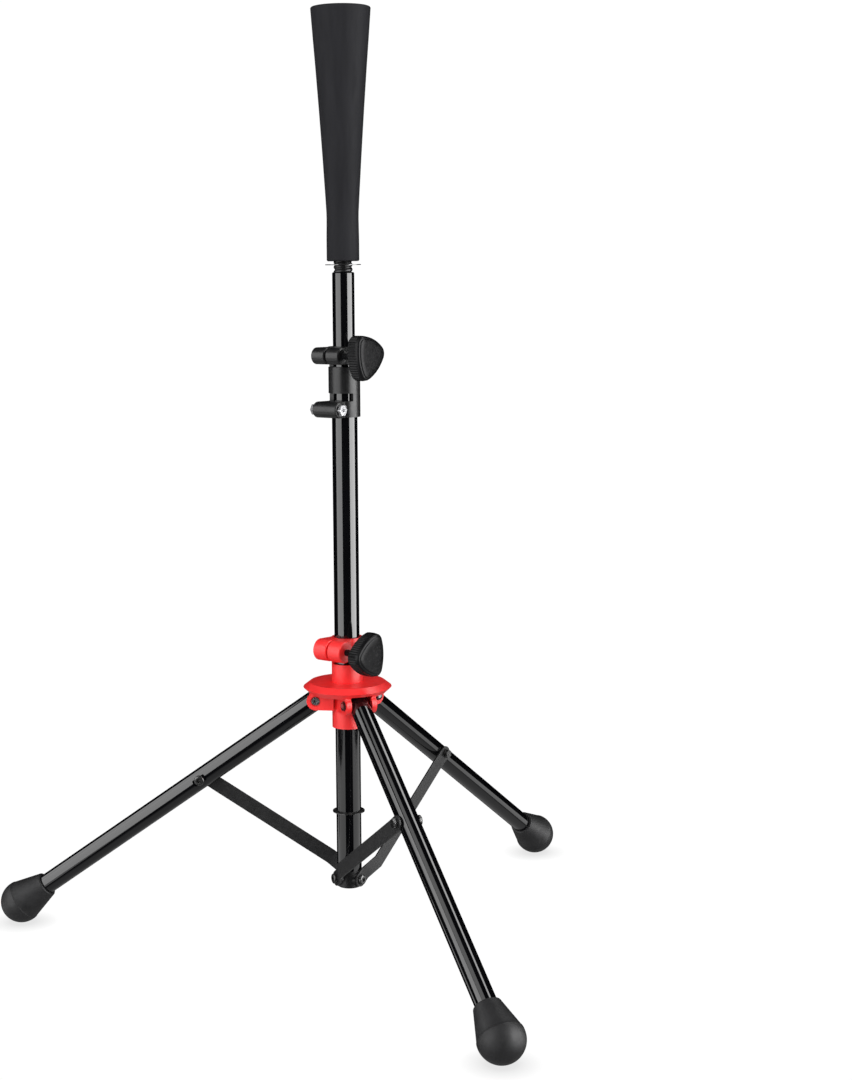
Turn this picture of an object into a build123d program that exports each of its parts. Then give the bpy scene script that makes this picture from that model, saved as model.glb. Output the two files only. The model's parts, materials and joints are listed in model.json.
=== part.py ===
from build123d import *
import os
from math import acos, atan2, cos, pi, radians, sin, sqrt

# A batting tee on a folding tripod. Millimetres, +Z up. The origin is on the ground under the
# mast. Legs stand at 180, 300 and 60 degrees of azimuth; both clamps open towards 240 degrees.

# ---- Driving dimensions ------------------------------------------------------------------

# Mast (fixed lower tube) and pole (inner tube that slides in it)
mast_od = 25.0
mast_wall = 1.2
mast_bottom = 70.0
mast_top = 541.5
pole_od = 21.5
pole_wall = 1.1
pole_bottom = 252.0
pole_top = 667.6
glide_length = 12.0         # nylon collar under the pole's lower end
glide_spigot = 18.0

# Ball cup, its stem and its push-on washer
cup_bottom = 678.0
cup_top = 917.0
cup_foot_radius = 15.8
cup_waist_radius = 15.5
cup_waist_height = 41.0     # waist above the cup's bottom
cup_rim_radius = 28.9
cup_wall = 3.2
cup_socket_depth = 26.0
stem_radius = 9.25
stem_plug_length = 30.0     # length inside the pole
cup_washer_od = 34.6
cup_washer_drop = 3.7       # below the cup
push_ring_thick = 0.8
push_ring_teeth = 8
push_ring_slit = 1.2
stop_ring_width = 3.6
stop_ring_height = 131.0
stop_ring_dish = 1.2

# Upper clamp
clamp_wall = 3.0            # ring, sleeve and band round the mast
clamp_band_bottom = 527.6
clamp_band_height = 15.6
clamp_window_height = 7.6   # window between the band and the sleeve
clamp_sleeve_height = 25.4
clamp_slit_height = 2.8     # slit between the sleeve and the split ring
clamp_ring_height = 17.0
clamp_ear_radius = 8.2
clamp_window_half_angle = 72.0
band_ear_radius = 7.8
band_ear_near = 13.1
band_ear_far = 16.2

# Ears, studs and knobs, shared by both clamps
ear_azimuth = 240.0
ear_stand_off = 10.5        # mast's surface to stud axis
ear_reach = 16.8            # half the length of a pair of ears
ear_gap = 1.6
ear_round = 1.6             # rounding of an ear's ends
ear_web_root = 6.0          # mast axis to the narrow end of the ears' web
ear_web_taper = 0.72        # the web's width there, as a share of the ears' reach
stud_radius = 2.5
nut_across_flats = 8.0
nut_height = 4.0
knob_standoff = 36.8        # middle of the ears to the knob's back face
knob_thickness = 13.5
knob_corner_distance = 18.4
knob_corner_radius = 9.5
knob_side_radius = 46.0
knob_face_rise = 1.0
knob_face_inset = 2.4
knob_boss_radius = 3.3
knob_blind_end = 4.0        # material left in front of the stud
upper_knob_turn = 160.0
hub_knob_turn = 90.0
collar_screw_across_flats = 10.0
collar_screw_head = 4.0
collar_screw_radius = 3.0

# Tripod: legs, feet, struts
leg_azimuths = {"a": 180.0, "b": 300.0, "c": 60.0}
leg_od = 20.6
leg_wall = 1.2
leg_pivot_out = 14.5        # hub's sleeve to the leg pivots
leg_spread = 54.67          # leg from the vertical, degrees
leg_reach = 386.5           # hub pivot to the middle of the foot's ball
leg_head_margin = 0.2       # the head is rounded about its pivot, this much past the tube's radius
leg_plug_depth = 28.0
leg_spot_radius = 7.6
leg_spot_depth = 0.6
foot_radius = 21.8
foot_mouth_wall = 2.9
foot_mouth_distance = 34.0  # from the ball's middle
foot_tube_stop = 10.0
strut_pivot_along_leg = 148.5
strut_width = 15.0
strut_thickness = 2.0
strut_bow_out = 5.8         # furthest the strut bows out past its end at the boot
strut_flat_at_boot = 9.0
strut_bow_at = 26.0
strut_flat_at_leg = 16.0
strut_washer_radius = 5.0
pivot_bolt_radius = 2.5
button_head_radius = 5.2
button_head_height = 2.9
socket_across_flats = 3.6
socket_depth = 1.7

# Hub, measured from the leg pivots' height
hub_collar_drop = 28.0
hub_wall = 2.25             # sleeve and ring round the mast
hub_disc_rim_out = 14.0     # leg pivots to the disc's edge
hub_disc_top_out = 7.5
hub_disc_bottom_out = 8.0
hub_disc_bottom_rise = 7.7
hub_disc_rim_rise = 13.2
hub_disc_top_rise = 18.2
hub_disc_plate = 3.0
hub_disc_rim_wall = 2.0
hub_sleeve_top_rise = 36.8
hub_slit_height = 5.0
hub_ear_radius = 10.8
hub_slit_half_angle = 48.0
hub_cheek_side_gap = 0.5    # each side of the leg, between two cheeks
hub_cheek_thickness = 5.0
hub_cheek_radius = 9.0
hub_recess_radius = 5.0
hub_recess_depth = 2.0
hub_rim_relief = 1.9        # notch in the rim over each leg
leg_bolt_head_radius = 4.1

# Boot
boot_bottom = 52.0
boot_pivot_height = 61.1
boot_spigot = 20.0
boot_pad_radius = 8.0
boot_pad_proud = 0.4        # the faces that the struts lie against, past the mast's surface
boot_screw_depth = 9.0
boot_round = 2.0

# ---- Clearances --------------------------------------------------------------------------

slide_gap = 0.3             # pole in the upper clamp
glide_gap = 0.15            # glide in the mast
hub_gap = 0.75              # hub on the mast
leg_pivot_gap = 0.8         # bolt in the leg: this pivot is open, and the fold needs the play
strut_pivot_gap = 0.1
stud_gap = 0.3
thread_gap = 0.05
face_gap = 0.3              # between faces that turn on each other

# ---- Worked out from the above -----------------------------------------------------------

mast_radius, mast_bore = mast_od / 2, mast_od / 2 - mast_wall
pole_radius, pole_bore = pole_od / 2, pole_od / 2 - pole_wall
leg_radius, leg_bore = leg_od / 2, leg_od / 2 - leg_wall
clamp_radius = mast_radius + clamp_wall
hub_radius = mast_radius + hub_gap + hub_wall
ear_offset = mast_radius + ear_stand_off
stop_ring_radius = mast_radius + stop_ring_width
leg_pivot_radius = hub_radius + leg_pivot_out
leg_head = leg_radius + leg_head_margin
hub_disc_radius = leg_pivot_radius + hub_disc_rim_out
hub_disc_top_radius = leg_pivot_radius + hub_disc_top_out
hub_disc_bottom_radius = leg_pivot_radius + hub_disc_bottom_out
hub_cheek_gap = leg_od + 2 * hub_cheek_side_gap
boot_pad_face = mast_radius + boot_pad_proud
spread = radians(leg_spread)
leg_direction = Vector(sin(spread), 0, -cos(spread))
hub_height = foot_radius + leg_reach * cos(spread)
leg_pivot = Vector(leg_pivot_radius, 0, hub_height)
strut_on_leg = leg_pivot + leg_direction * strut_pivot_along_leg
strut_on_boot = Vector(0, 0, boot_pivot_height)
strut_line = strut_on_leg - strut_on_boot
strut_length = strut_line.length
strut_direction = strut_line.normalized()
strut_leg_offset = leg_radius + face_gap + strut_thickness / 2
strut_boot_offset = boot_pad_face + face_gap + strut_thickness / 2
strut_bow = strut_boot_offset + strut_bow_out
clamp_window = clamp_band_bottom + clamp_band_height
clamp_sleeve = clamp_window + clamp_window_height
clamp_slit = clamp_sleeve + clamp_sleeve_height
clamp_ring = clamp_slit + clamp_slit_height
clamp_top = clamp_ring + clamp_ring_height
clamp_stud_height = clamp_ring + clamp_ring_height / 2
band_screw_height = clamp_band_bottom + clamp_band_height / 2
hub_sleeve_top = hub_height + hub_sleeve_top_rise
hub_ring = hub_sleeve_top + hub_slit_height
hub_top = hub_ring + 2 * hub_ear_radius
hub_stud_height = hub_ring + hub_ear_radius
knob_axis = Vector(1, 0, 0).rotate(Axis.Z, ear_azimuth + 90)
ear_direction = Vector(1, 0, 0).rotate(Axis.Z, ear_azimuth)
across = Vector(0, 1, 0)    # along the pivots of a leg built at azimuth 0


# ---- Shapes used again and again ---------------------------------------------------------

def rod(radius, start, direction, length):
    """A round bar from start, along direction."""
    bar = Cylinder(radius, length, align=(Align.CENTER, Align.CENTER, Align.MIN))
    return Plane(origin=start, z_dir=direction) * bar


def pipe(outer, inner, start, direction, length):
    return rod(outer, start, direction, length) - rod(inner, start, direction, length)


def upright(radius, low, high):
    return rod(radius, (0, 0, low), (0, 0, 1), high - low)


def hexagon_bar(across_flats, start, direction, length):
    outline = RegularPolygon(across_flats / 2, 6, major_radius=False)
    return extrude(Plane(origin=start, z_dir=direction) * outline, length)


def turned(outline):
    """Turns a closed outline of (radius, height) points about the mast axis."""
    return revolve(make_face(Plane.XZ * Polyline(*outline, close=True)), Axis.Z)


def at_azimuth(shape, azimuth):
    return Rot(0, 0, azimuth) * shape


def at_each_leg(shape):
    """The same shape at all three legs, as one group of separate solids."""
    return [at_azimuth(shape, azimuth) for azimuth in leg_azimuths.values()]


def stud_point(height, along):
    """A point on the stud axis at this height, this far from the middle of the ears."""
    return ear_direction * ear_offset + knob_axis * along + Vector(0, 0, height)


def ear_barrel(height, radius, start, end):
    """A round ear with rounded ends, from one distance along the stud axis to another."""
    barrel = rod(radius, stud_point(height, start), knob_axis, end - start)
    return fillet(barrel.edges().filter_by(GeomType.CIRCLE), ear_round)


def ear_web(height, radius, far, near):
    """What joins the ears to the ring, set back inside their rounded ends."""
    root = Polyline(
        (ear_web_root, -far * ear_web_taper), (ear_offset, -far + ear_round),
        (ear_offset, near - ear_round), (ear_web_root, near * ear_web_taper), close=True,
    )
    web = extrude(Plane.XY * make_face(root), 2 * radius)
    return at_azimuth(Pos(0, 0, height - radius) * web, ear_azimuth)


def split_ears(height, radius):
    """A clamp's pair of ears, round about the stud axis."""
    ears = ear_barrel(height, radius, -ear_reach, -ear_gap / 2)
    ears += ear_barrel(height, radius, ear_gap / 2, ear_reach)
    return ears + ear_web(height, radius, ear_reach, ear_reach)


def ring_window(low, high, half_angle):
    """A window cut through the side of a clamp, centred on its ears."""
    sector = Cylinder(
        2 * clamp_radius, high - low, arc_size=2 * half_angle,
        align=(Align.NONE, Align.NONE, Align.MIN),
    )
    return Pos(0, 0, low) * Rot(0, 0, ear_azimuth - half_angle) * sector


def ear_split(low, high):
    """The gap between a clamp's two ears."""
    gap = Box(
        ear_offset * 2, ear_gap, high - low, align=(Align.MIN, Align.CENTER, Align.MIN)
    )
    return at_azimuth(Pos(0, 0, low) * gap, ear_azimuth)


def nut_pocket(height, far, across_flats):
    depth = nut_height
    return hexagon_bar(across_flats + 2 * stud_gap, stud_point(height, -far), knob_axis, depth)


def push_ring(outer, inner, low, dish):
    """A spring-steel push-on ring, with slits that leave gripping teeth."""
    ring = turned([
        (inner, low + dish), (outer, low), (outer, low + push_ring_thick),
        (inner, low + dish + push_ring_thick),
    ])
    depth = (outer - inner) * 0.55
    slit = Pos(inner + depth / 2 - 0.5, 0, low) * Box(depth + 1.0, push_ring_slit, 8 * push_ring_thick)
    for k in range(push_ring_teeth):
        ring -= at_azimuth(slit, k * 360 / push_ring_teeth)
    return ring


# ---- Pole, cup and what holds them -------------------------------------------------------

def ball_cup():
    waist = cup_bottom + cup_waist_height
    slope_start = waist + 12.0
    floor = cup_bottom + cup_socket_depth
    outer = [
        (cup_foot_radius, cup_bottom), (cup_foot_radius, cup_bottom + 18.0),
        (cup_waist_radius, waist), (cup_waist_radius + 0.5, slope_start),
        (cup_rim_radius, cup_top),
    ]
    inner = [
        (cup_rim_radius - cup_wall, cup_top), (cup_waist_radius + 0.5 - cup_wall, slope_start),
        (cup_waist_radius - cup_wall, floor), (stem_radius, floor), (stem_radius, cup_bottom),
    ]
    face = make_face(Plane.XZ * Polyline(*outer, *inner, close=True))
    rim = face.vertices().sort_by(Axis.Z)[-2:]
    return revolve(fillet(rim, cup_wall * 0.42), Axis.Z)


def cup_stem():
    return upright(pole_bore, pole_top - stem_plug_length, pole_top) + upright(
        stem_radius, pole_top, cup_bottom + cup_socket_depth
    )


def cup_washer():
    return push_ring(cup_washer_od / 2, stem_radius, cup_bottom - cup_washer_drop, 0.0)


def pole_tube():
    tube = upright(pole_radius, pole_bottom, pole_top)
    tube = chamfer(tube.edges().sort_by(Axis.Z)[-1], 1.0)
    return tube - upright(pole_bore, pole_bottom, pole_top)


def pole_glide():
    collar = upright(mast_bore - glide_gap, pole_bottom - glide_length, pole_bottom)
    spigot = upright(pole_bore, pole_bottom, pole_bottom + glide_spigot)
    bore = upright(pole_bore - 3.0, pole_bottom - glide_length, pole_bottom + glide_spigot)
    return collar + spigot - bore


# ---- Mast, its stop ring and boot --------------------------------------------------------

def mast_tube():
    return pipe(mast_radius, mast_bore, (0, 0, mast_bottom), (0, 0, 1), mast_top - mast_bottom)


def mast_stop_ring():
    return push_ring(stop_ring_radius, mast_radius, stop_ring_height - stop_ring_dish, stop_ring_dish)


def boot_screw_start(distance):
    """A point on a strut's screw axis, for a leg at azimuth 0."""
    return Vector(0, -distance, boot_pivot_height)


def mast_boot():
    body = upright(mast_radius, boot_bottom, mast_bottom)
    body = fillet(body.edges().sort_by(Axis.Z)[0], boot_round)
    body += upright(mast_bore, mast_bottom, mast_bottom + boot_spigot)
    for azimuth in leg_azimuths.values():
        body += at_azimuth(rod(boot_pad_radius, (0, 0, boot_pivot_height), -across, boot_pad_face), azimuth)
    for azimuth in leg_azimuths.values():
        hole = rod(pivot_bolt_radius, boot_screw_start(boot_pad_face), across, boot_screw_depth)
        body -= at_azimuth(hole, azimuth)
    return body


def button_screw(seat, direction, shank):
    """A button-head screw: its head stands on seat, against direction."""
    head = rod(button_head_radius, seat - direction * button_head_height, direction, button_head_height)
    rim = head.edges().filter_by(GeomType.CIRCLE).sort_by(lambda e: (e.center() - seat).length)[-1]
    head = fillet(rim, button_head_height * 0.55)
    socket = hexagon_bar(
        socket_across_flats, seat - direction * button_head_height, direction, socket_depth
    )
    return head + rod(pivot_bolt_radius, seat, direction, shank) - socket


def boot_screws():
    seat_distance = boot_pad_face + 2 * face_gap + strut_thickness
    shank = seat_distance - boot_pad_face + boot_screw_depth
    return at_each_leg(button_screw(boot_screw_start(seat_distance), across, shank))


# ---- Upper clamp -------------------------------------------------------------------------

def upper_clamp():
    body = upright(clamp_radius, clamp_band_bottom, clamp_top)
    body += split_ears(clamp_stud_height, clamp_ear_radius)
    body += ear_barrel(band_screw_height, band_ear_radius, -band_ear_far, band_ear_near)
    body += ear_web(band_screw_height, band_ear_radius, band_ear_far, band_ear_near)
    body -= upright(mast_radius, clamp_band_bottom, mast_top)
    body -= upright(pole_radius + slide_gap, mast_top, clamp_top)
    body -= ring_window(clamp_window, clamp_sleeve, clamp_window_half_angle)
    body -= ring_window(clamp_slit, clamp_ring, clamp_window_half_angle)
    body -= ear_split(clamp_slit, clamp_top)
    body -= rod(stud_radius + stud_gap, stud_point(clamp_stud_height, -ear_reach), knob_axis, 2 * ear_reach)
    body -= nut_pocket(clamp_stud_height, ear_reach, nut_across_flats)
    body -= rod(
        collar_screw_radius, stud_point(band_screw_height, -band_ear_far), knob_axis,
        band_ear_far + band_ear_near,
    )
    return body


def collar_screw():
    seat = stud_point(band_screw_height, band_ear_near)
    shank = band_ear_far + band_ear_near + nut_height
    socket = rod(1.6, seat + knob_axis * collar_screw_head, -knob_axis, 1.6)
    head = hexagon_bar(collar_screw_across_flats, seat, knob_axis, collar_screw_head)
    return head + rod(collar_screw_radius, seat, -knob_axis, shank) - socket


def collar_nut():
    start = stud_point(band_screw_height, -band_ear_far - nut_height)
    nut = hexagon_bar(collar_screw_across_flats, start, knob_axis, nut_height)
    return nut - rod(collar_screw_radius, start, knob_axis, nut_height)


def clamp_nut(height):
    """The nut held in the far ear's pocket."""
    start = stud_point(height, -ear_reach)
    nut = hexagon_bar(nut_across_flats, start, knob_axis, nut_height)
    return nut - rod(stud_radius + thread_gap, start, knob_axis, nut_height)


def clamp_stud(height):
    length = ear_reach + knob_standoff + knob_thickness - knob_blind_end
    return rod(stud_radius, stud_point(height, -ear_reach), knob_axis, length)


def knob_outline(inset):
    """A three-cornered outline with bowed sides and round corners."""
    middle = knob_side_radius - knob_corner_distance / 2 - knob_corner_radius + inset
    discs = [Rot(0, 0, k * 120) * Pos(middle, 0) * Circle(knob_side_radius) for k in range(3)]
    lens = discs[0] & discs[1] & discs[2]
    return fillet(lens.vertices(), knob_corner_radius - inset)


def clamp_knob(height, turn):
    """The knob on a clamp's stud, standing at this turn."""
    back = Plane(origin=stud_point(height, knob_standoff), x_dir=(0, 0, 1), z_dir=knob_axis)
    body = extrude(back * Rot(0, 0, turn) * knob_outline(0.0), knob_thickness)
    face_plane = back.offset(knob_thickness)
    body += extrude(face_plane * Rot(0, 0, turn) * knob_outline(knob_face_inset), knob_face_rise)
    boss_length = knob_standoff - ear_reach - face_gap
    body += rod(knob_boss_radius, stud_point(height, ear_reach + face_gap), knob_axis, boss_length)
    bore = knob_standoff + knob_thickness - knob_blind_end
    return body - rod(stud_radius, stud_point(height, 0), knob_axis, bore)


# ---- Hub ---------------------------------------------------------------------------------

def hub_disc():
    """The flange that covers the leg pivots: a plate with a turned-down rim."""
    under = hub_height + hub_disc_top_rise - hub_disc_plate
    inner_rim = hub_disc_bottom_radius - hub_disc_rim_wall
    return turned([
        (hub_radius - 1.0, hub_height + hub_disc_top_rise),
        (hub_disc_top_radius, hub_height + hub_disc_top_rise),
        (hub_disc_radius, hub_height + hub_disc_rim_rise),
        (hub_disc_bottom_radius, hub_height + hub_disc_bottom_rise),
        (inner_rim, hub_height + hub_disc_bottom_rise),
        (inner_rim, under),
        (hub_radius - 1.0, under),
    ])


def hub_cheek(side):
    """One of the two cheeks that hold the leg at azimuth 0: side is 1 or -1."""
    root = hub_radius - 3.5
    outer = hub_disc_bottom_radius - hub_disc_rim_wall
    plate = Pos(leg_pivot_radius, 0) * Circle(hub_cheek_radius)
    plate += Pos(root, -hub_cheek_radius) * Rectangle(
        leg_pivot_radius - root, hub_cheek_radius, align=(Align.MIN, Align.MIN)
    )
    plate += Pos(root, 0) * Rectangle(
        outer - root, hub_disc_top_rise - hub_disc_plate / 2, align=(Align.MIN, Align.MIN)
    )
    start = hub_cheek_gap / 2 if side > 0 else -hub_cheek_gap / 2 - hub_cheek_thickness
    outline = Plane(origin=(0, start, hub_height), x_dir=(1, 0, 0), z_dir=(0, -1, 0)) * plate
    return extrude(outline, -hub_cheek_thickness)


def hub():
    body = upright(hub_radius, hub_height - hub_collar_drop, hub_top) + hub_disc()
    body += split_ears(hub_stud_height, hub_ear_radius)
    outer_face = hub_cheek_gap / 2 + hub_cheek_thickness
    for azimuth in leg_azimuths.values():
        body += at_azimuth(hub_cheek(1) + hub_cheek(-1), azimuth)
    relief = Box(
        hub_disc_radius, hub_cheek_gap, hub_rim_relief, align=(Align.MIN, Align.CENTER, Align.MIN)
    )
    relief = Pos(leg_pivot_radius, 0, hub_height + hub_disc_bottom_rise) * relief
    for azimuth in leg_azimuths.values():
        body -= at_azimuth(relief, azimuth)
        bolt_hole = rod(pivot_bolt_radius, leg_pivot - across * outer_face, across, 2 * outer_face)
        body -= at_azimuth(bolt_hole, azimuth)
        for side in (1, -1):
            recess = rod(
                hub_recess_radius, leg_pivot + across * side * (outer_face - hub_recess_depth),
                across * side, 2 * hub_recess_depth,
            )
            body -= at_azimuth(recess, azimuth)
    body -= upright(mast_radius + hub_gap, hub_height - hub_collar_drop, hub_top)
    body -= ring_window(hub_sleeve_top, hub_ring, hub_slit_half_angle)
    body -= ear_split(hub_sleeve_top, hub_top)
    body -= rod(stud_radius + stud_gap, stud_point(hub_stud_height, -ear_reach), knob_axis, 2 * ear_reach)
    body -= nut_pocket(hub_stud_height, ear_reach, nut_across_flats)
    return body


def leg_bolt_seat():
    """Where a leg bolt's head and nut bear: the floor of a cheek's recess."""
    return hub_cheek_gap / 2 + hub_cheek_thickness - hub_recess_depth


def leg_bolts():
    seat = leg_bolt_seat()
    head_height = hub_recess_depth - 0.2
    bolt = rod(leg_bolt_head_radius, leg_pivot + across * seat, across, head_height)
    bolt += rod(pivot_bolt_radius, leg_pivot - across * (seat + nut_height), across, 2 * seat + nut_height)
    bolt -= hexagon_bar(socket_across_flats, leg_pivot + across * (seat + head_height), -across, 1.2)
    return at_each_leg(bolt)


def leg_nuts():
    start = leg_pivot - across * (leg_bolt_seat() + nut_height)
    nut = hexagon_bar(nut_across_flats, start, across, nut_height)
    return at_each_leg(nut - rod(pivot_bolt_radius, start, across, nut_height))


# ---- Legs, feet and struts, built at azimuth 0 -------------------------------------------

def leg_point(along):
    return leg_pivot + leg_direction * along


def round_head(shape):
    """Rounds a leg's end about its pivot, so that it turns clear of the hub's rim."""
    beyond = rod(leg_od, leg_pivot, -leg_direction, 2 * leg_head)
    kept = rod(leg_head, leg_pivot - across * leg_od, across, 2 * leg_od)
    return shape - (beyond - kept)


def leg_tube():
    length = leg_head + leg_reach - foot_tube_stop
    tube = pipe(leg_radius, leg_bore, leg_point(-leg_head), leg_direction, length)
    envelope = rod(leg_radius, leg_point(-leg_head), leg_direction, length)
    seat = leg_radius - leg_spot_depth
    for side in (1, -1):
        spot = rod(leg_spot_radius, strut_on_leg + across * side * seat, across * side, leg_radius)
        pad = rod(
            leg_spot_radius + leg_wall, strut_on_leg + across * side * (seat - leg_wall),
            across * side, leg_wall,
        )
        tube = tube - spot + (pad & envelope)
    through = 2 * leg_od
    tube -= rod(pivot_bolt_radius, strut_on_leg - across * leg_od, across, through)
    return round_head(tube) - rod(pivot_bolt_radius + leg_pivot_gap, leg_pivot - across * leg_od, across, through)


def leg_plug():
    plug = round_head(rod(leg_bore, leg_point(-leg_head), leg_direction, leg_plug_depth))
    return plug - rod(pivot_bolt_radius + leg_pivot_gap, leg_pivot - across * leg_od, across, 2 * leg_od)


def foot():
    """A ball foot with a conical sleeve, turned about the leg's own axis."""
    mouth = leg_radius + foot_mouth_wall
    far = sqrt(foot_mouth_distance**2 + mouth**2)
    touch = atan2(mouth, foot_mouth_distance) + acos(foot_radius / far)
    tangent = (foot_radius * sin(touch), -foot_radius * cos(touch))
    half_way = (touch + pi) / 2
    middle = (foot_radius * sin(half_way), -foot_radius * cos(half_way))
    side = Polyline(
        (0, -foot_tube_stop), (leg_radius, -foot_tube_stop), (leg_radius, -foot_mouth_distance),
        (mouth, -foot_mouth_distance), tangent,
    )
    ball = ThreePointArc(tangent, middle, (0, foot_radius))
    outline = make_face(Plane.XZ * (side + ball + Line((0, foot_radius), (0, -foot_tube_stop))))
    return Plane(origin=leg_point(leg_reach), z_dir=leg_direction) * revolve(outline, Axis.Z)


def strut():
    """A flat bar, cranked out past the boot and back in to the leg."""
    half = strut_width / 2
    crank = [
        (-half, strut_boot_offset), (strut_flat_at_boot, strut_boot_offset), (strut_bow_at, strut_bow),
        (strut_length - strut_flat_at_leg, strut_leg_offset), (strut_length + half, strut_leg_offset),
    ]
    inner = [(u, -offset + strut_thickness / 2) for u, offset in crank]
    outer = [(u, -offset - strut_thickness / 2) for u, offset in reversed(crank)]
    edge_on = Plane(origin=strut_on_boot, x_dir=strut_direction, z_dir=strut_direction.cross(across))
    bar = extrude(edge_on * make_face(Polyline(*inner, *outer, close=True)), half, both=True)
    flat_on = Plane(origin=strut_on_boot, x_dir=strut_direction, z_dir=across)
    outline = Pos(strut_length / 2, 0) * SlotCenterToCenter(strut_length, strut_width)
    bar &= extrude(flat_on * outline, 2 * strut_bow, both=True)
    for end in (strut_on_boot, strut_on_leg):
        bar -= rod(pivot_bolt_radius + strut_pivot_gap, end, -across, 2 * strut_bow)
    return bar


def strut_bolt():
    seat = leg_radius - leg_spot_depth
    reach = seat + strut_leg_offset + strut_thickness / 2 + face_gap + nut_height
    return button_screw(strut_on_leg + across * seat, -across, reach)


def strut_washer():
    start = strut_on_leg - across * (leg_radius - leg_spot_depth)
    return pipe(strut_washer_radius, pivot_bolt_radius, start, -across, leg_spot_depth)


def strut_nut():
    start = strut_on_leg - across * (strut_leg_offset + strut_thickness / 2 + face_gap)
    nut = hexagon_bar(nut_across_flats, start, -across, nut_height)
    return nut - rod(pivot_bolt_radius, start, -across, nut_height)


# ---- Every piece, by name ----------------------------------------------------------------

pieces = {
    "ball_cup": ball_cup(),
    "cup_stem": cup_stem(),
    "cup_washer": cup_washer(),
    "pole_tube": pole_tube(),
    "pole_glide": pole_glide(),
    "mast_tube": mast_tube(),
    "mast_stop_ring": mast_stop_ring(),
    "mast_boot": mast_boot(),
    "boot_screws": boot_screws(),
    "upper_clamp": upper_clamp(),
    "upper_clamp_nut": clamp_nut(clamp_stud_height),
    "upper_stud": clamp_stud(clamp_stud_height),
    "upper_knob": clamp_knob(clamp_stud_height, upper_knob_turn),
    "collar_screw": collar_screw(),
    "collar_nut": collar_nut(),
    "hub": hub(),
    "hub_nut": clamp_nut(hub_stud_height),
    "hub_stud": clamp_stud(hub_stud_height),
    "hub_knob": clamp_knob(hub_stud_height, hub_knob_turn),
    "leg_bolts": leg_bolts(),
    "leg_nuts": leg_nuts(),
}
for letter, azimuth in leg_azimuths.items():
    for name, make in {
        "leg_tube": leg_tube, "leg_plug": leg_plug, "foot": foot, "strut": strut,
        "strut_bolt": strut_bolt, "strut_washer": strut_washer, "strut_nut": strut_nut,
    }.items():
        pieces[f"{name}_{letter}"] = at_azimuth(make(), azimuth)

os.makedirs("parts", exist_ok=True)
for name, piece in pieces.items():
    solid = Compound(children=piece) if isinstance(piece, list) else piece
    export_step(solid, f"parts/{name}.step")
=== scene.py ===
import json
from math import atan2, cos, pi, radians, sin, sqrt

import bmesh
import bpy
from mathutils import Matrix, Vector

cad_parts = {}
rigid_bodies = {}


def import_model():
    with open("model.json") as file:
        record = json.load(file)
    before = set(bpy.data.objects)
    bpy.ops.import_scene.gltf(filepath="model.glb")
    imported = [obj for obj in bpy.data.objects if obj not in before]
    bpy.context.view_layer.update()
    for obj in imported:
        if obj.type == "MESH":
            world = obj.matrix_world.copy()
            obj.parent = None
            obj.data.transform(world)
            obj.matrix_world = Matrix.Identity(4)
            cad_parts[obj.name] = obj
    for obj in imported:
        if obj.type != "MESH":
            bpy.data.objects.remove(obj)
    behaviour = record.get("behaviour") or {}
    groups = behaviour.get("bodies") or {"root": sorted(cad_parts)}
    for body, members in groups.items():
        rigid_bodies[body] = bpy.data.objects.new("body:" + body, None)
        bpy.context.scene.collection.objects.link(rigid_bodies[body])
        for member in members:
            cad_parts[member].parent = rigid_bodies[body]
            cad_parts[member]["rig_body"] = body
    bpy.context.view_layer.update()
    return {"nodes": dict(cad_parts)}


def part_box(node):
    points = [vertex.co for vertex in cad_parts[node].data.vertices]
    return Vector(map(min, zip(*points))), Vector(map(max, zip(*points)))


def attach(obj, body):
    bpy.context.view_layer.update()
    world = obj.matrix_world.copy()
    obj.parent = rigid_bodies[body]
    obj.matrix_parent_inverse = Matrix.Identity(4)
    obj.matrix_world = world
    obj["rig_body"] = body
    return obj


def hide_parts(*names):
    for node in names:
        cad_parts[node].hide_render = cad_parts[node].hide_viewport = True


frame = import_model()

# A batting tee on a folding tripod, in metres, +Z up, origin on the ground under the mast.
# The cup, its neck, the knobs and the feet are modelled here in more detail. The struts, hub,
# clamp, boot and band screw are the CAD nodes' shapes with rounded edges, black liners are
# added in the hub's recesses as painted shade, and every other node keeps its CAD shape.

MM = 0.001
scene = bpy.context.scene
scene.view_settings.view_transform = "Standard"


def direction(azimuth, elevation=0.0):
    """A unit vector from an azimuth and an elevation in degrees."""
    a, e = radians(azimuth), radians(elevation)
    return Vector((cos(a) * cos(e), sin(a) * cos(e), sin(e)))


# ---- Node materials ------------------------------------------------------------------------

def node(tree, kind, place, **settings):
    """A shader node of this kind at this place, with its sockets or settings filled in."""
    made = tree.nodes.new(kind)
    made.location = place
    for name, value in settings.items():
        if name in made.inputs:
            made.inputs[name].default_value = value
        else:
            setattr(made, name, value)
    return made


def noise(tree, point, stretch, cell, detail, place):
    """A noise texture whose cells are this many metres across, stretched by these factors."""
    mapping = node(tree, "ShaderNodeMapping", place)
    mapping.inputs["Scale"].default_value = [1 / (cell * s) for s in stretch]
    tree.links.new(point, mapping.inputs["Vector"])
    texture = node(tree, "ShaderNodeTexNoise", (place[0] + 200, place[1]))
    texture.inputs["Scale"].default_value = 1.0
    texture.inputs["Detail"].default_value = detail
    tree.links.new(mapping.outputs["Vector"], texture.inputs["Vector"])
    return texture.outputs["Fac"]


def spread(tree, value, low, high, place):
    """Maps the middle of a noise onto low to high."""
    ramp = node(tree, "ShaderNodeMapRange", place)
    for socket, number in (("From Min", 0.3), ("From Max", 0.7), ("To Min", low), ("To Max", high)):
        ramp.inputs[socket].default_value = number
    tree.links.new(value, ramp.inputs["Value"])
    return ramp.outputs["Result"]


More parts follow.
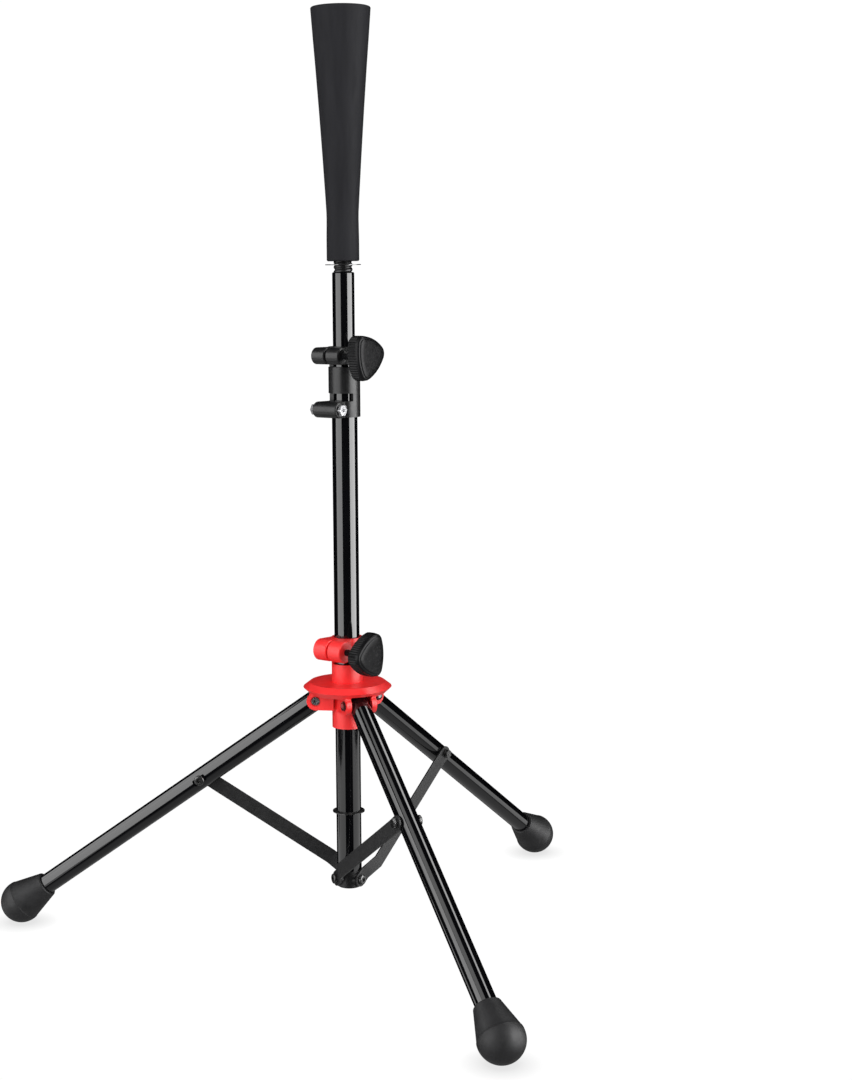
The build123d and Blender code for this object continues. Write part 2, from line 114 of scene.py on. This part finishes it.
def surface(
    name, dark, light, roughness, mottle_cell, grain_cell, grain_height, mottle_stretch=(1, 1, 1),
    metallic=0.0, specular=0.5, coat=0.0, coat_roughness=0.05, wear=None, wear_share=0.5,
):
    """A mottled, grained surface. dark and light are its two base colours, roughness is the
    lowest and highest, and wear is the colour of fine rubbed specks along it."""
    material = bpy.data.materials.new(name)
    material.use_nodes = True
    tree = material.node_tree
    shader = tree.nodes["Principled BSDF"]
    point = node(tree, "ShaderNodeTexCoord", (-1300, 0)).outputs["Object"]

    mottle = noise(tree, point, mottle_stretch, mottle_cell, 4.0, (-1050, 300))
    mix = node(tree, "ShaderNodeMix", (-300, 300), data_type="RGBA")
    mix.inputs["A"].default_value = (*dark, 1)
    mix.inputs["B"].default_value = (*light, 1)
    tree.links.new(spread(tree, mottle, 0.0, 1.0, (-550, 300)), mix.inputs["Factor"])
    colour = mix.outputs["Result"]
    if wear is not None:
        specks = noise(tree, point, mottle_stretch, mottle_cell * 0.11, 6.0, (-1050, 600))
        chosen = spread(tree, specks, -1.0 / wear_share, 1.0, (-550, 600))
        worn = node(tree, "ShaderNodeMix", (-150, 500), data_type="RGBA")
        worn.inputs["B"].default_value = (*wear, 1)
        tree.links.new(chosen, worn.inputs["Factor"])
        tree.links.new(colour, worn.inputs["A"])
        colour = worn.outputs["Result"]
    tree.links.new(colour, shader.inputs["Base Color"])

    blotches = noise(tree, point, mottle_stretch, mottle_cell * 0.35, 3.0, (-1050, 0))
    tree.links.new(spread(tree, blotches, *roughness, (-550, 0)), shader.inputs["Roughness"])

    grain = noise(tree, point, (1, 1, 1), grain_cell, 2.0, (-1050, -300))
    bump = node(tree, "ShaderNodeBump", (-300, -300), Strength=1.0, Distance=grain_height)
    tree.links.new(grain, bump.inputs["Height"])
    tree.links.new(bump.outputs["Normal"], shader.inputs["Normal"])

    shader.inputs["Metallic"].default_value = metallic
    shader.inputs["Specular IOR Level"].default_value = specular
    shader.inputs["Coat Weight"].default_value = coat
    shader.inputs["Coat Roughness"].default_value = coat_roughness
    return material


finishes = {
    "gloss_black_tube": surface(
        "tube_gloss_black", (0.0015, 0.0015, 0.002), (0.003, 0.003, 0.0036), (0.05, 0.09),
        mottle_cell=0.03, grain_cell=0.0025, grain_height=0.000003, mottle_stretch=(1, 1, 3),
        specular=0.5, coat=0.2, coat_roughness=0.04,
    ),
    "satin_black_strut": surface(
        "strut_satin_black", (0.009, 0.009, 0.0095), (0.013, 0.013, 0.0135), (0.36, 0.5),
        mottle_cell=0.012, grain_cell=0.0007, grain_height=0.00002, specular=0.3,
        wear=(0.024, 0.024, 0.025), wear_share=0.3,
    ),
    "foot_rubber": surface(
        "foot_rubber_grey", (0.0125, 0.0125, 0.0132), (0.019, 0.019, 0.02), (0.42, 0.56),
        mottle_cell=0.014, grain_cell=0.0008, grain_height=0.00003, specular=0.22,
    ),
    "cup_rubber": surface(
        "cup_rubber_charcoal", (0.0145, 0.0145, 0.0165), (0.0195, 0.0195, 0.022), (0.5, 0.62),
        mottle_cell=0.008, grain_cell=0.0008, grain_height=0.00003, mottle_stretch=(1, 1, 9),
        specular=0.03,
    ),
    "black_moulding": surface(
        "moulding_satin_black", (0.007, 0.007, 0.0075), (0.012, 0.012, 0.0125), (0.27, 0.38),
        mottle_cell=0.01, grain_cell=0.0005, grain_height=0.000015, specular=0.3,
    ),
    "knob_moulding": surface(
        "knob_satin_black", (0.005, 0.005, 0.0055), (0.008, 0.008, 0.0087), (0.2, 0.3),
        mottle_cell=0.008, grain_cell=0.0006, grain_height=0.000005, specular=0.09,
    ),
    "red_moulding": surface(
        "moulding_red", (0.9, 0.022, 0.024), (0.98, 0.033, 0.033), (0.3, 0.42),
        mottle_cell=0.02, grain_cell=0.0009, grain_height=0.000012, specular=0.36,
    ),
    "nylon": surface(
        "nylon_black", (0.008, 0.008, 0.008), (0.014, 0.014, 0.014), (0.45, 0.6),
        mottle_cell=0.008, grain_cell=0.0006, grain_height=0.000015, specular=0.3,
    ),
    "spring_steel": surface(
        "spring_steel_black", (0.03, 0.03, 0.031), (0.1, 0.1, 0.1), (0.1, 0.2),
        mottle_cell=0.004, grain_cell=0.0004, grain_height=0.000005, metallic=0.7,
        wear=(0.25, 0.25, 0.25), wear_share=0.3,
    ),
    "zinc_plated_steel": surface(
        "zinc_bright", (0.28, 0.28, 0.29), (0.42, 0.42, 0.43), (0.2, 0.34),
        mottle_cell=0.003, grain_cell=0.0003, grain_height=0.000005, metallic=1.0,
    ),
    "black_steel_screw": surface(
        "screw_black_oxide", (0.03, 0.03, 0.03), (0.07, 0.07, 0.07), (0.14, 0.26),
        mottle_cell=0.004, grain_cell=0.0004, grain_height=0.000005, metallic=0.8,
        wear=(0.4, 0.4, 0.4), wear_share=0.4,
    ),
}


# ---- Pieces ----------------------------------------------------------------------------------

def finished(piece, slot, *nodes):
    """Gives a piece its finish, its body and the CAD nodes that it stands for."""
    piece.data.materials.clear()
    piece.data.materials.append(finishes[slot])
    piece.data.polygons.foreach_set("material_index", [0] * len(piece.data.polygons))
    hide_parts(*nodes)
    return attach(piece, frame["nodes"][nodes[0]]["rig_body"])


def middle_height(cad_node):
    """The height half way up a CAD node's box."""
    low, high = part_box(cad_node)
    return (low.z + high.z) / 2


def mesh_piece(name, points, faces, sharp=35.0):
    """A mesh piece from its points and faces, smooth but for edges over this angle."""
    mesh = bpy.data.meshes.new(name)
    mesh.from_pydata([tuple(p) for p in points], [], faces)
    mesh.validate()
    shape = bmesh.new()
    shape.from_mesh(mesh)
    bmesh.ops.recalc_face_normals(shape, faces=shape.faces)
    shape.to_mesh(mesh)
    shape.free()
    mesh.shade_smooth()
    mesh.set_sharp_from_angle(angle=radians(sharp))
    piece = bpy.data.objects.new(name, mesh)
    scene.collection.objects.link(piece)
    return piece


def rings(sections, around):
    """Faces that join sections of this many points each, closed round and at both ends."""
    faces = []
    for s in range(sections - 1):
        for k in range(around):
            n = (k + 1) % around
            t = s + 1
            faces.append((s * around + k, s * around + n, t * around + n, t * around + k))
    faces.append(tuple(reversed(range(around))))
    faces.append(tuple(range((sections - 1) * around, sections * around)))
    return faces


def on_circle(radius, height, share):
    """The point at this share of a turn round a level circle about Z."""
    angle = 2 * pi * share
    return Vector((radius * cos(angle), radius * sin(angle), height))


def circle(radius, height, around):
    """This many points, evenly spaced round such a circle."""
    return [on_circle(radius, height, k / around) for k in range(around)]


def turned(name, outline, around, place=Matrix.Identity(4), sharp=35.0):
    """A solid turned about local Z from a closed outline of (radius, height), in metres.
    The outline doesn't touch the axis; it goes up the outside and down the inside."""
    points = []
    for radius, height in outline:
        points += [place @ point for point in circle(radius, height, around)]
    sections = len(outline)
    faces = []
    for s in range(sections):
        t = (s + 1) % sections
        for k in range(around):
            n = (k + 1) % around
            faces.append((s * around + k, s * around + n, t * around + n, t * around + k))
    return mesh_piece(name, points, faces, sharp)


def arc(centre, radius, start, end, steps):
    """Points on an arc in the outline's plane, from one angle in degrees to another."""
    return [
        (centre[0] + radius * cos(radians(start + (end - start) * k / steps)),
         centre[1] + radius * sin(radians(start + (end - start) * k / steps)))
        for k in range(steps + 1)
    ]


def softened(name, cad_node, slot, round_to, steps=2, sharp=30.0):
    """The CAD node's own shape with its hard edges rounded, as its moulding or plating has them."""
    source = frame["nodes"][cad_node]
    mesh = source.data.copy()
    mesh.name = name
    shape = bmesh.new()
    shape.from_mesh(mesh)
    bmesh.ops.remove_doubles(shape, verts=shape.verts, dist=0.000002)
    bmesh.ops.dissolve_limit(
        shape, angle_limit=radians(0.6), verts=shape.verts, edges=shape.edges,
        delimit={"NORMAL"},
    )
    hard = [
        e for e in shape.edges
        if len(e.link_faces) == 2 and e.calc_face_angle(0.0) > radians(sharp)
    ]
    bmesh.ops.bevel(
        shape, geom=hard, offset=round_to, offset_type="OFFSET", segments=steps, profile=0.5,
        affect="EDGES", clamp_overlap=True, miter_outer="ARC",
    )
    bmesh.ops.recalc_face_normals(shape, faces=shape.faces)
    shape.to_mesh(mesh)
    shape.free()
    mesh.shade_smooth()
    mesh.set_sharp_from_angle(angle=radians(40))
    piece = bpy.data.objects.new(name, mesh)
    scene.collection.objects.link(piece)
    weighted = piece.modifiers.new("even_shading", "WEIGHTED_NORMAL")
    weighted.keep_sharp = True
    return finished(piece, slot, cad_node)


# ---- Ball cup --------------------------------------------------------------------------------

def ball_cup():
    """The hollow rubber cup that holds the ball."""
    low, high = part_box("ball_cup")
    stem_radius = 9.4 * MM
    wall = 3.2 * MM
    floor = low.z + 26 * MM
    foot_round, rim_round = 1.6 * MM, 1.5 * MM
    rim = high.x - 0.05 * MM
    # height above the cup's foot and the radius there, in mm: straight foot, slight waist,
    # then a flare
    flare = [
        (14, 15.8), (24, 15.75), (32, 15.6), (41, 15.5), (47, 15.6), (53, 15.95), (64, 16.55),
        (76, 17.3), (98, 18.65), (120, 20.1), (143, 21.65), (165, 23.25), (188, 24.95),
        (210, 26.7), (226, 27.9),
    ]
    flare = [(radius * MM, low.z + height * MM) for height, radius in flare]
    outside = arc((15.8 * MM - foot_round, low.z + foot_round), foot_round, -90, 0, 6)
    outside += flare
    outside += arc((rim - rim_round, high.z - rim_round), rim_round, 0, 90, 6)
    inside = arc((rim - wall + rim_round, high.z - rim_round), rim_round, 90, 180, 6)
    inside += [
        (radius - wall, height) for radius, height in reversed(flare) if height > floor + 6 * MM
    ]
    inner = 15.5 * MM - wall
    inside += arc((inner - 2 * MM, floor + 2 * MM), 2 * MM, 0, -90, 4)
    outline = outside + inside + [(stem_radius, floor), (stem_radius, low.z)]
    cup = turned("cup_moulded_rubber", outline, 144, sharp=50)
    return finished(cup, "cup_rubber", "ball_cup")


def cup_neck():
    """The threaded neck that the cup is pushed on to, and its plug inside the pole."""
    low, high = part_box("cup_stem")
    pole_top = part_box("pole_tube")[1].z
    plug = -low.x * 0.995       # 0.5% slimmer than in the CAD
    neck = 9.2 * MM
    pitch, depth = 4.6 * MM, 1.1 * MM
    around = 96
    points = []
    for height in (low.z, pole_top - 0.01 * MM):
        points += circle(plug, height, around)
    steps = 90
    for s in range(steps + 1):
        height = pole_top + (high.z - pole_top) * s / steps
        for k in range(around):
            turn = k / around
            phase = ((height - pole_top) / pitch - turn) % 1.0
            crest = 0.5 - 0.5 * cos(2 * pi * phase)
            radius = neck - depth * (1 - crest) ** 1.6
            points.append(on_circle(radius, height, turn))
    neck_piece = mesh_piece("neck_thread", points, rings(len(points) // around, around), sharp=60)
    return finished(neck_piece, "black_moulding", "cup_stem")


# ---- Clamp knobs -----------------------------------------------------------------------------

knob_side_radius = 46 * MM
knob_corner_radius = 9.5 * MM
knob_centre_offset = 27.3 * MM     # from the knob's middle to a side arc's centre
ear_azimuth = 240
knob_azimuth = ear_azimuth + 90
knob_ribs = 54
samples_per_rib = 8


def knob_outline(count):
    """Points evenly spaced along the three-cornered outline, with their outward directions."""
    centre = Vector((-knob_centre_offset * cos(pi / 3), knob_centre_offset * sin(pi / 3)))
    corner = sqrt((knob_side_radius - knob_corner_radius) ** 2 - centre.y**2) + centre.x
    joint = centre + (Vector((corner, 0)) - centre).normalized() * knob_side_radius
    corner_half = -atan2(joint.y, joint.x)

    def reach(way, middle, radius):
        along = way.dot(middle)
        return along + sqrt(max(along**2 + radius**2 - middle.length_squared, 0))

    fine, fine_steps = [], 3600
    for k in range(fine_steps):
        angle = 2 * pi * k / fine_steps
        local = (angle + pi / 3) % (2 * pi / 3) - pi / 3
        way = Vector((cos(local), -abs(sin(local))))
        if abs(local) < corner_half:
            length = reach(way, Vector((corner, 0)), knob_corner_radius)
        else:
            length = reach(way, centre, knob_side_radius)
        fine.append(Vector((length * cos(angle), length * sin(angle))))
    lengths = [0.0]
    for a, b in zip(fine, fine[1:] + fine[:1]):
        lengths.append(lengths[-1] + (b - a).length)
    found, at = [], 0
    for k in range(count):
        wanted = lengths[-1] * k / count
        while lengths[at + 1] < wanted:
            at += 1
        share = (wanted - lengths[at]) / (lengths[at + 1] - lengths[at])
        found.append(fine[at].lerp(fine[(at + 1) % len(fine)], share))
    outward = []
    for k in range(count):
        tangent = found[(k + 1) % count] - found[k - 1]
        outward.append(Vector((tangent.y, -tangent.x)).normalized())
    return found, outward


def clamp_knob(name, cad_node, stud_height, turn):
    """A knob with a ribbed rim, a smooth shoulder and a raised face, on its hollow boss."""
    samples = knob_ribs * samples_per_rib
    outline, outward = knob_outline(samples)
    stud_out, standoff, boss_length = 23 * MM, 36.8 * MM, 19.7 * MM
    rib_depth = 0.75 * MM
    up = Vector((0, 0, 1))
    knob_axis = direction(knob_azimuth)
    stud_middle = direction(ear_azimuth) * stud_out + up * stud_height
    side = knob_axis.cross(up)
    turned_up = up * cos(radians(turn)) + side * sin(radians(turn))
    turned_side = side * cos(radians(turn)) - up * sin(radians(turn))
    back = stud_middle + knob_axis * standoff

    def place(x, y, depth):
        return back + turned_up * x + turned_side * y + knob_axis * depth

    points = []
    # depth along the axis and inset from the outline, in mm, and the share of the ribs'
    # depth that is cut there
    profile = [
        (0.0, 1.6, 0.0), (0.25, 0.7, 0.2), (0.9, 0.2, 0.8), (1.5, 0.0, 1.0), (8.9, 0.0, 1.0),
        (9.3, 0.1, 0.75), (9.7, 0.45, 0.0), (11.6, 0.6, 0.0), (12.4, 0.85, 0.0), (13.0, 1.35, 0.0),
        (13.4, 2.1, 0.0), (13.5, 2.9, 0.0), (13.9, 3.15, 0.0), (14.3, 3.6, 0.0), (14.45, 4.4, 0.0),
    ]
    for depth, inset, cut in profile:
        for k, (p, n) in enumerate(zip(outline, outward)):
            groove = (0.5 - 0.5 * cos(2 * pi * k / samples_per_rib)) ** 0.8
            q = p - n * (inset * MM + rib_depth * cut * groove)
            points.append(place(q.x, q.y, depth * MM))
    rings_made = len(profile)
    face_inset = profile[-1][1] * MM
    face_outline = [p - n * face_inset for p, n in zip(outline, outward)]
    for share, depth in ((0.75, 14.49), (0.4, 14.5), (0.08, 14.5)):
        points += [place(q.x * share, q.y * share, depth * MM) for q in face_outline]
        rings_made += 1
    faces = rings(rings_made, samples)
    faces.pop(-2)       # the cap over the back, where the boss goes on from the same ring
    # the back narrows to the boss, which stands on the clamp's ear
    start = len(points)
    boss, bore = 3.3 * MM, 2.55 * MM
    boss_profile = [
        (boss + 1.2 * MM, 0.0), (boss + 0.3 * MM, -0.5 * MM), (boss, -1.4 * MM),
        (boss, -boss_length + 0.4 * MM), (boss - 0.3 * MM, -boss_length), (bore, -boss_length),
    ]
    for radius, depth in boss_profile:
        for p in outline:
            rim = p.normalized() * radius
            points.append(place(rim.x, rim.y, depth))
    loops = [list(range(samples))]
    for s in range(len(boss_profile)):
        loops.append(list(range(start + s * samples, start + (s + 1) * samples)))
    for a, b in zip(loops, loops[1:]):
        for k in range(samples):
            n = (k + 1) % samples
            faces.append((a[k], b[k], b[n], a[n]))
    faces.append(tuple(loops[-1]))
    knob = mesh_piece(name, points, faces, sharp=50)
    return finished(knob, "knob_moulding", cad_node)


# ---- Feet ------------------------------------------------------------------------------------

leg_spread = radians(54.67)
leg_azimuths = {"a": 180, "b": 300, "c": 60}
leg_pivot_out = 30 * MM         # mast axis to a leg's pivot in the hub
leg_reach = 386.5 * MM          # that pivot to the middle of the foot's ball
foot_radius = 21.8 * MM
foot_out = leg_pivot_out + leg_reach * sin(leg_spread)


def foot(letter, azimuth):
    """A ball foot with a conical sleeve: the two meet in a fine step round the ball."""
    outward = direction(azimuth)
    along = outward * sin(leg_spread) - Vector((0, 0, 1)) * cos(leg_spread)
    across = Vector((0, 0, 1)).cross(outward)
    ball = outward * foot_out + Vector((0, 0, foot_radius))
    turn = Matrix((along.cross(across), across, along)).transposed().to_4x4()
    place = Matrix.Translation(ball) @ turn
    mouth, bore, mouth_at = 13.2 * MM, 10.3 * MM, -34 * MM
    lip = 1.3 * MM
    touch = 8.0         # degrees behind the ball's middle where the sleeve meets it
    inside_stop = -11 * MM
    outline = [(0.3 * MM, foot_radius)]
    outline += arc((0, 0), foot_radius, 88, -touch, 40)
    meet = (foot_radius * cos(radians(touch)), -foot_radius * sin(radians(touch)))
    step = 0.45 * MM
    outline += [
        (meet[0] - step * 0.6, meet[1] - 0.25 * MM), (meet[0] - step, meet[1] - 0.7 * MM),
    ]
    sleeve_start = (meet[0] - step, meet[1] - 0.7 * MM)
    outline += [
        (sleeve_start[0] + (mouth - sleeve_start[0]) * k / 6,
         sleeve_start[1] + (mouth_at + lip - sleeve_start[1]) * k / 6)
        for k in range(1, 7)
    ]
    outline += arc((mouth - lip, mouth_at + lip), lip, 0, -90, 5)[1:]
    outline += [(bore + 0.25 * MM, mouth_at), (bore + 0.02 * MM, mouth_at + 0.8 * MM),
                (bore + 0.02 * MM, inside_stop), (0.3 * MM, inside_stop)]
    shape = turned(f"foot_ball_{letter}", outline, 96, place, sharp=50)
    return finished(shape, "foot_rubber", f"foot_{letter}")


# ---- Painted shade: black liners in the hub's recesses -----------------------------------------

def hub_recess_shade_liners(letter, azimuth):
    """Black rings lining the recesses in both cheeks round a leg's bolt and nut: painted shade
    there.
    """
    height = middle_height("leg_bolts")
    floor_at, depth = 13.8 * MM, 1.85 * MM     # across the leg to the recess's floor
    outward = direction(azimuth)
    across = Vector((0, 0, 1)).cross(outward)
    outline = [
        (4.95 * MM, 0.02 * MM), (4.95 * MM, depth - 0.2 * MM), (4.75 * MM, depth),
        (4.5 * MM, depth), (4.35 * MM, depth - 0.2 * MM), (4.35 * MM, 0.6 * MM),
        (4.2 * MM, 0.02 * MM),
    ]
    for side, word in ((1, "left"), (-1, "right")):
        axis = across * side
        first = axis.orthogonal()
        turn = Matrix((first, axis.cross(first), axis)).transposed().to_4x4()
        centre = outward * leg_pivot_out + Vector((0, 0, height)) + axis * floor_at
        # each ring lines a recess wall in black: painted shade for the dark inside of the recess
        ring = turned(f"recess_shade_liner_{letter}_{word}", outline, 48, Matrix.Translation(centre) @ turn)
        ring.data.materials.append(finishes["nylon"])
        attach(ring, "hub")


# ---- Making the pieces -----------------------------------------------------------------------

ball_cup()
cup_neck()
clamp_knob("knob_of_upper_clamp", "upper_knob", middle_height("upper_stud"), turn=160)
clamp_knob("knob_of_hub", "hub_knob", middle_height("hub_stud"), turn=90)
for letter, azimuth in leg_azimuths.items():
    foot(letter, azimuth)
    hub_recess_shade_liners(letter, azimuth)
    softened(f"strut_bar_{letter}", f"strut_{letter}", "satin_black_strut", 0.35 * MM)
softened("hub_moulding", "hub", "red_moulding", 0.7 * MM, steps=3)
softened("clamp_moulding", "upper_clamp", "black_moulding", 0.5 * MM, steps=3)
softened("boot_moulding", "mast_boot", "black_moulding", 0.4 * MM)
softened("band_screw", "collar_screw", "zinc_plated_steel", 0.3 * MM)

for part in frame["nodes"].values():
    if not part.hide_render:
        slot_name = part.data.materials[0].name.split(".")[0]
        part.data.materials[0] = finishes[slot_name]


# ---- Stage, light and camera -----------------------------------------------------------------

white = 1.02                    # just past full white
contact_reach = 0.022           # how far the shade under a foot spreads, in metres
contact_shade = 0.78            # how bright the floor is where that shade is full
contact_full_at = 0.35          # the openness to the sky at which it is full
floor_bounce = 0.62             # light from the floor on matt surfaces
soft_light = 0.46               # light from all round on matt surfaces
grey_underneath = 0.36          # what gloss reflects below the floor's level
camera_azimuth = -81.617        # where the camera stands, seen from the mast
camera_out, camera_height = 1.851256, 0.667314
camera_pitch, camera_roll = 8.0499, 0.6033      # degrees down, and degrees of tilt
camera_lens, camera_shift = 63.085, 0.0741


def ray_switch(tree, ray, otherwise, chosen, place):
    """Chosen where the light path is this kind of ray, otherwise the other shader."""
    path = node(tree, "ShaderNodeLightPath", (place[0] - 200, place[1] + 200))
    mix = node(tree, "ShaderNodeMixShader", place)
    tree.links.new(path.outputs[ray], mix.inputs["Fac"])
    tree.links.new(otherwise, mix.inputs[1])
    tree.links.new(chosen, mix.inputs[2])
    return mix.outputs[0]


def glow(tree, kind, level, place):
    """An even grey emission or background of this brightness."""
    light = node(tree, kind, place)
    light.inputs["Color"].default_value = (level, level, level, 1)
    return light.outputs[0]


def floor():
    """A white floor with a soft shade where something touches it. In reflections, the studio
    below its level is seen through it."""
    mesh = bpy.data.meshes.new("floor")
    half = 6.0
    mesh.from_pydata(
        [(-half, -half, 0), (half, -half, 0), (half, half, 0), (-half, half, 0)], [], [(0, 1, 2, 3)]
    )
    ground = bpy.data.objects.new("floor", mesh)
    scene.collection.objects.link(ground)
    material = bpy.data.materials.new("floor_white")
    material.use_nodes = True
    tree = material.node_tree
    tree.nodes.clear()
    contact = node(tree, "ShaderNodeAmbientOcclusion", (-1050, 400), Distance=contact_reach)
    shade = node(tree, "ShaderNodeMapRange", (-850, 400))
    shade.inputs["From Min"].default_value = contact_full_at
    shade.inputs["To Min"].default_value = contact_shade
    shade.inputs["To Max"].default_value = white
    tree.links.new(contact.outputs["AO"], shade.inputs["Value"])
    seen = node(tree, "ShaderNodeEmission", (-450, 400))
    seen.inputs["Color"].default_value = (1, 1, 1, 1)
    tree.links.new(shade.outputs["Result"], seen.inputs["Strength"])
    lit = glow(tree, "ShaderNodeEmission", floor_bounce, (-450, 100))
    clear = node(tree, "ShaderNodeBsdfTransparent", (-450, -100))
    result = ray_switch(tree, "Is Glossy Ray", lit, clear.outputs[0], (-200, 0))
    result = ray_switch(tree, "Is Shadow Ray", result, clear.outputs[0], (0, 0))
    result = ray_switch(tree, "Is Camera Ray", result, seen.outputs[0], (200, 0))
    output = node(tree, "ShaderNodeOutputMaterial", (450, 0))
    tree.links.new(result, output.inputs["Surface"])
    mesh.materials.append(material)


def facing(tree, ray, aim, inner, outer, place):
    """1 within this many degrees of a direction, 0 beyond the outer angle."""
    dot = node(tree, "ShaderNodeVectorMath", place, operation="DOT_PRODUCT")
    dot.inputs[1].default_value = aim
    tree.links.new(ray, dot.inputs[0])
    ramp = node(tree, "ShaderNodeMapRange", (place[0] + 200, place[1]))
    ramp.inputs["From Min"].default_value = cos(radians(outer))
    ramp.inputs["From Max"].default_value = cos(radians(inner))
    tree.links.new(dot.outputs["Value"], ramp.inputs["Value"])
    return ramp.outputs["Result"]


def surroundings():
    """White where it is seen, soft grey light on matt surfaces, and in reflections black, with
    a dim grey underneath."""
    world = bpy.data.worlds.new("studio")
    scene.world = world
    world.use_nodes = True
    tree = world.node_tree
    tree.nodes.clear()
    ray = node(tree, "ShaderNodeTexCoord", (-1400, -300)).outputs["Generated"]
    under = facing(tree, ray, Vector((0, 0, -1)), 45, 62, (-1200, -450))
    dim = node(tree, "ShaderNodeMath", (-900, -450), operation="MULTIPLY")
    dim.inputs[1].default_value = grey_underneath
    tree.links.new(under, dim.inputs[0])
    mirrored = node(tree, "ShaderNodeBackground", (-450, -100))
    mirrored.inputs["Color"].default_value = (1, 1, 1, 1)
    tree.links.new(dim.outputs[0], mirrored.inputs["Strength"])
    lit = glow(tree, "ShaderNodeBackground", soft_light, (-450, 100))
    seen = glow(tree, "ShaderNodeBackground", white, (-450, 300))
    result = ray_switch(tree, "Is Glossy Ray", lit, mirrored.outputs[0], (-200, 0))
    result = ray_switch(tree, "Is Camera Ray", result, seen, (0, 0))
    output = node(tree, "ShaderNodeOutputWorld", (250, 0))
    tree.links.new(result, output.inputs["Surface"])


def area_light(name, place, outward, width, tall, radiance):
    """A rectangular light that shines the way opposite to outward. The camera doesn't see it."""
    data = bpy.data.lights.new(name, "AREA")
    data.shape = "RECTANGLE"
    data.size, data.size_y = width, tall
    data.energy = radiance * pi * width * tall
    light = bpy.data.objects.new(name, data)
    scene.collection.objects.link(light)
    light.location = place
    light.rotation_euler = (-outward).to_track_quat("-Z", "Y").to_euler()
    light.visible_camera = False
    return light


def panel(name, start, end, low, high, radiance, out=2.6, seen_in="gloss"):
    """A tall flat light, standing from one azimuth to another off the camera's own, and from
    low to high. It is seen either in glossy reflections or by matt surfaces."""
    a, b = (direction(camera_azimuth + angle) * out for angle in (start, end))
    width, tall = (b - a).length, high - low
    middle = (a + b) / 2
    place = middle + Vector((0, 0, (low + high) / 2))
    light = area_light(name, place, middle, width, tall, radiance)
    light.visible_diffuse = seen_in == "matt"
    light.visible_glossy = seen_in == "gloss"


def overhead(name, azimuth, elevation, width, radiance, out=2.4):
    """A square light up above, seen only in reflections, such as those along the legs."""
    place = direction(camera_azimuth + azimuth, elevation) * out
    light = area_light(name, place, place, width, width, radiance)
    light.visible_diffuse = False


def camera():
    """The camera as it was fitted to the photo: pitched down, tilted a little and shifted."""
    data = bpy.data.cameras.new("camera")
    data.sensor_width = 36.0
    data.lens = camera_lens
    data.shift_x = camera_shift
    data.clip_start, data.clip_end = 0.05, 50
    eye = bpy.data.objects.new("camera", data)
    scene.collection.objects.link(eye)
    forward = direction(camera_azimuth + 180, -camera_pitch)
    right = direction(camera_azimuth + 90)
    up = right.cross(forward)
    c, s = cos(radians(camera_roll)), sin(radians(camera_roll))
    rolled_up, rolled_right = up * c + right * s, right * c - up * s
    turn = Matrix((rolled_right, rolled_up, -forward)).transposed().to_4x4()
    eye.matrix_world = Matrix.Translation(
        direction(camera_azimuth) * camera_out + Vector((0, 0, camera_height))
    ) @ turn
    scene.camera = eye


floor()
surroundings()
panel("left_panel", -88, -30, -0.3, 2.4, 3.9)
panel("left_panel_foot", -122, -30, -1.1, -0.3, 1.3)
panel("left_wing", -118, -88, 0.85, 2.2, 3.0)
panel("right_panel", 42, 98, -0.3, 2.4, 9.0)
panel("right_panel_foot", 42, 125, -1.1, -0.3, 1.3)
overhead("left_overhead", -55, 62, 1.1, 1.9)
overhead("right_overhead", 110, 62, 0.8, 6.0)
panel("left_key", -60, -18, 0.6, 2.4, 3.9, seen_in="matt")
panel("right_key", 18, 60, 0.6, 2.4, 4.3, seen_in="matt")
camera()
